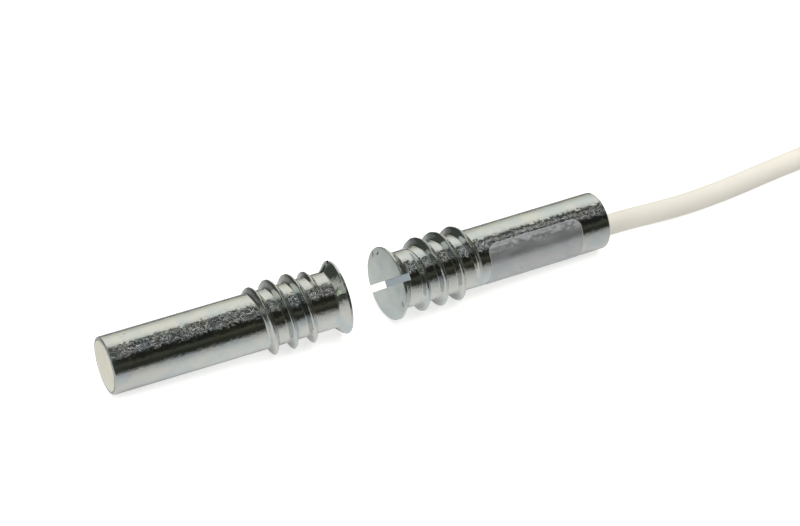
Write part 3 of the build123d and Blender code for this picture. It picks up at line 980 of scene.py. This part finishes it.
class CONTACT_OT_inside(bpy.types.Operator):
    """Give the parts inside the housings their finishes"""

    bl_idname = "contact.inside"
    bl_label = "Finish the inside"

    def execute(self, context):
        # Nickel-iron wire, rolled flat for the blades: warm grey and satin
        blade = drawn_metal("nickel_iron_rolled", "#B9B6AC", "#9C998F", 0.7, 0.3, 0.003)
        # Polyester film, wound round the glass: amber, with a satin gloss
        sleeve = plain_plastic(
            "polyester_sleeve_wound", "#B98A3C", "#A67A30", 2.0, 0.45, 0.005, 1.5
        )
        # Tin solder, molten and set: grey, blotchy and a little wavy
        solder = drawn_metal("tin_solder_wetted", "#B4B6B5", "#8F9190", 0.4, 0.33, 0.008)
        # Copper wire, drawn: warm and bright, with hardly a blemish
        copper = drawn_metal("copper_drawn", "#C98258", "#B8734B", 0.5, 0.3, 0.003)
        # Nickel, plated over the pressed magnet: warm and bright
        magnet = drawn_metal("nickel_plated_magnet", "#BDB9AE", "#A5A196", 1.2, 0.25, 0.004)
        finishes = {
            "reed_glass": glass(),
            "reed_blade_front": blade,
            "reed_blade_rear": blade,
            "insulating_sleeve": sleeve,
            "solder_front": solder,
            "solder_rear": solder,
            "solder_loop": solder,
            "bar_magnet": magnet,
        }
        for name, *_ in CORES:
            finishes["core_" + name] = bpy.data.materials[f"pvc_{name}_extruded"]
            finishes["conductor_" + name] = copper
        for name, finish in finishes.items():
            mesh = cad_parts[name].data
            mesh.materials.clear()
            mesh.materials.append(finish)
        return {"FINISHED"}


# Stage


def lamp(name, place, size, power, colour):
    """A soft square lamp, placed in metres and aimed at the set. The metal doesn't mirror it."""
    light = bpy.data.lights.new(name, "AREA")
    light.shape, light.size, light.energy, light.color = "SQUARE", size, power, colour
    made = bpy.data.objects.new(name, light)
    made.location = place
    made.rotation_mode = "QUATERNION"
    made.rotation_quaternion = (-Vector(place)).to_track_quat("-Z", "Y")
    made.visible_glossy = False
    bpy.context.scene.collection.objects.link(made)


def shape_ramp(node, stops):
    """Gives a colour ramp its stops."""
    ramp = node.color_ramp
    ramp.elements[0].position, ramp.elements[1].position = 0.0, 1.0
    for at, colour in stops[1:-1]:
        ramp.elements.new(at)
    for element, (at, colour) in zip(ramp.elements, stops):
        element.position = at
        element.color = (*colour, 1)


# What stands in front, overhead and behind: degrees from the front horizon over the top
ROOM_MIDDLE = (
    (0, (0.035, 0.036, 0.027)),
    (12, (0.03, 0.031, 0.023)),
    (24, (0.075, 0.076, 0.056)),
    (34, (0.018, 0.018, 0.014)),
    (50, (0.018, 0.018, 0.016)),
    (60, (0.085, 0.085, 0.085)),
    (74, (0.11, 0.11, 0.11)),
    (102, (0.07, 0.07, 0.064)),
    (109, (0.8, 0.8, 0.75)),
    (122, (1.05, 1.03, 0.96)),
    (146, (1.01, 0.99, 0.92)),
    (162, (0.8, 0.79, 0.71)),
    (180, (0.55, 0.55, 0.47)),
)
# To the left it is dark, with a dimmer strip of cloth high up
LEFT_DARK = (0.07, 0.075, 0.062)
LEFT_CLOTH = (0.55, 0.55, 0.5)
ROOM_LEFT = (
    (0, LEFT_DARK),
    (98, LEFT_DARK),
    (112, LEFT_CLOTH),
    (130, LEFT_CLOTH),
    (146, LEFT_DARK),
    (180, LEFT_DARK),
)
ROOM_RIGHT = (0.1, 0.1, 0.085)


def room(world):
    """What the metal mirrors: dark in front, grey overhead, a bright cloth behind and above."""
    world.use_nodes = True
    tree = world.node_tree
    tree.nodes.clear()
    around = add_node(tree, "TexCoord").node.outputs["Generated"]
    right, away, up = add_node(tree, "SeparateXYZ", (around,)).node.outputs
    nearer = add_node(tree, "Math", (away, -1.0), operation="MULTIPLY")
    rise = add_node(tree, "Math", (up, nearer), operation="ARCTAN2")
    over = add_node(tree, "MapRange", (rise, 0.0, pi))
    # Things of all sizes stand overhead, between the dark front and the cloth
    things = add_node(
        tree, "TexNoise", {"Vector": around, "Scale": 13.0, "Detail": 2.0, "Roughness": 0.6}
    )
    things = add_node(tree, "MapRange", (things, 0.535, 0.625, 0.32, 11.0))
    zone = add_node(tree, "MapRange", (rise, radians(44), radians(60)))
    before = add_node(tree, "MapRange", (rise, radians(94), radians(108), 1.0, 0.0))
    zone = add_node(tree, "Math", (zone, before), operation="MULTIPLY")
    things = add_node(tree, "Mix", (zone, (1, 1, 1), things), data_type="RGBA")
    seen = []
    for stops in (ROOM_MIDDLE, ROOM_LEFT):
        ramp = add_node(tree, "ValToRGB", (over,))
        shape_ramp(ramp.node, [(angle / 180, colour) for angle, colour in stops])
        seen.append(
            add_node(tree, "Mix", (1.0, ramp, things), data_type="RGBA", blend_type="MULTIPLY")
        )
    leftward = add_node(tree, "MapRange", (right, 0.12, -0.2))
    colour = add_node(tree, "Mix", (leftward, *seen), data_type="RGBA")
    rightward = add_node(tree, "MapRange", (right, 0.62, 0.8))
    colour = add_node(tree, "Mix", (rightward, colour, ROOM_RIGHT), data_type="RGBA")
    direct = add_node(tree, "LightPath").node.outputs["Is Camera Ray"]
    colour = add_node(tree, "Mix", (direct, colour, (1, 1, 1)), data_type="RGBA")
    light = add_node(tree, "Background", {"Color": colour, "Strength": 1.0})
    add_node(tree, "OutputWorld", {"Surface": light})


# How bright the lit table is, at distances from its middle in millimetres
TABLE_LEVELS = (
    (0, 0.8),
    (7, 0.84),
    (11, 0.76),
    (16, 0.62),
    (22, 0.54),
    (50, 0.26),
    (100, 0.16),
)
TABLE_REACH = TABLE_LEVELS[-1][0]


def paper_floor(settings):
    """White paper: its fibres make it matt. It is lifted to white where the camera sees it,
    and the object's shadow stays."""
    made, tree, shader = new_material("paper_white", Roughness=0.9, Specular_IOR_Level=0.0)
    place = add_node(tree, "TexCoord").node.outputs["Object"]
    fibre = add_node(tree, "TexNoise", (place, 1 / (4.0 * MM), 4.0))
    fibre = add_node(tree, "MapRange", (fibre, 0.3, 0.7))
    darker = [level * 0.99 for level in settings.paper]
    colour = add_node(tree, "Mix", (fibre, settings.paper, darker), data_type="RGBA")
    tree.links.new(colour, shader.inputs["Base Color"])
    glow = add_node(tree, "Emission", {"Color": (1, 1, 1), "Strength": 0.62})
    lifted = add_node(tree, "AddShader", (shader.outputs[0], glow))
    # The table is lit from below, most where the object lies, which the metal mirrors
    level = add_node(tree, "Mapping", {"Vector": place, "Scale": (0.3, 1.0, 1.0)})
    level = add_node(tree, "VectorMath", (level,), operation="LENGTH")
    level = add_node(tree, "MapRange", (level, 0.0, TABLE_REACH * MM))
    level = add_node(tree, "ValToRGB", (level,))
    shape_ramp(
        level.node,
        [(away / TABLE_REACH, (bright, bright, bright * 0.985)) for away, bright in TABLE_LEVELS],
    )
    ray = add_node(tree, "LightPath").node.outputs
    level = add_node(
        tree, "Mix", (ray["Is Diffuse Ray"], level, (0.86, 0.86, 0.84)), data_type="RGBA"
    )
    # Painted shadow: the table's glow is dimmed where the object lies close above it
    under = add_node(tree, "AmbientOcclusion", {"Distance": 3.0 * MM}, samples=8)
    under = add_node(tree, "MapRange", (under.node.outputs["AO"], 0.05, 0.6, 0.3, 1.0))
    table = add_node(tree, "Emission", {"Color": level, "Strength": under})
    both = add_node(tree, "MixShader", (ray["Is Camera Ray"], table, lifted))
    tree.links.new(both, tree.nodes["Material Output"].inputs["Surface"])
    return made


class CONTACT_OT_stage(bpy.types.Operator):
    """Add the camera, the floor and the light"""

    bl_idname = "contact.stage"
    bl_label = "Add stage"

    def execute(self, context):
        settings = context.scene.contact_stage
        context.scene.view_settings.view_transform = "Standard"
        # The camera, fitted to the outlines of both halves in the photograph
        place = mm(-217.2249, -367.5806, 323.3774)
        azimuth, elevation, roll = radians(-31.3409), radians(36.345), radians(1.0)
        back = Vector(
            (sin(azimuth) * cos(elevation), -cos(azimuth) * cos(elevation), sin(elevation))
        )
        right = Vector((cos(azimuth), sin(azimuth), 0))
        up = back.cross(right)
        right, up = right * cos(roll) + up * sin(roll), up * cos(roll) - right * sin(roll)
        view = bpy.data.cameras.new("camera")
        view.lens, view.sensor_width, view.sensor_fit = 178.183, 36.0, "HORIZONTAL"
        view.clip_start, view.clip_end = 0.01, 20.0
        camera = bpy.data.objects.new("camera", view)
        camera.matrix_world = (
            Matrix.Translation(place) @ Matrix((right, up, back)).transposed().to_4x4()
        )
        context.scene.collection.objects.link(camera)
        context.scene.camera = camera

        mesh = bpy.data.meshes.new("floor")
        reach = 4.0
        mesh.from_pydata(
            [(-reach, -reach, 0), (reach, -reach, 0), (reach, reach, 0), (-reach, reach, 0)],
            [],
            [(0, 1, 2, 3)],
        )
        mesh.materials.append(paper_floor(settings))
        ground = bpy.data.objects.new("floor", mesh)
        context.scene.collection.objects.link(ground)

        world = bpy.data.worlds.new("room")
        context.scene.world = world
        room(world)
        above, left = settings.fill, settings.fill * 0.46
        lamp("fill_above", (0.1, -0.25, 0.9), 0.9, above, (1.0, 0.99, 0.97))
        lamp("fill_left", (-0.8, -0.2, 0.4), 0.5, left, (0.95, 0.98, 1.0))
        return {"FINISHED"}


class CONTACT_PT_panel(bpy.types.Panel):
    """Sizes, colours and pieces of the magnetic contact"""

    bl_idname = "CONTACT_PT_panel"
    bl_label = "Magnetic contact"
    bl_space_type = "VIEW_3D"
    bl_region_type = "UI"
    bl_category = "Contact"

    def draw(self, context):
        for name, kind in SETTINGS.items():
            box = self.layout.box()
            for field in kind.__annotations__:
                box.prop(getattr(context.scene, name), field)
        for operator in OPERATORS:
            self.layout.operator(operator.bl_idname)


SETTINGS = {
    "contact_metal": MetalSettings,
    "contact_cable": CableSettings,
    "contact_film": FilmSettings,
    "contact_stage": StageSettings,
}
OPERATORS = (
    CONTACT_OT_stage,
    CONTACT_OT_cable,
    CONTACT_OT_housings,
    CONTACT_OT_resin,
    CONTACT_OT_film,
    CONTACT_OT_inside,
)


def register():
    for kind in (*SETTINGS.values(), *OPERATORS, CONTACT_PT_panel):
        bpy.utils.register_class(kind)
    for name, kind in SETTINGS.items():
        setattr(bpy.types.Scene, name, PointerProperty(type=kind))


def unregister():
    for name in SETTINGS:
        delattr(bpy.types.Scene, name)
    for kind in reversed((*SETTINGS.values(), *OPERATORS, CONTACT_PT_panel)):
        bpy.utils.unregister_class(kind)


def main():
    register()
    bpy.ops.contact.stage()
    bpy.ops.contact.cable()
    bpy.ops.contact.housings()
    bpy.ops.contact.resin()
    bpy.ops.contact.film()
    bpy.ops.contact.inside()


if __name__ == "__main__":
    main()
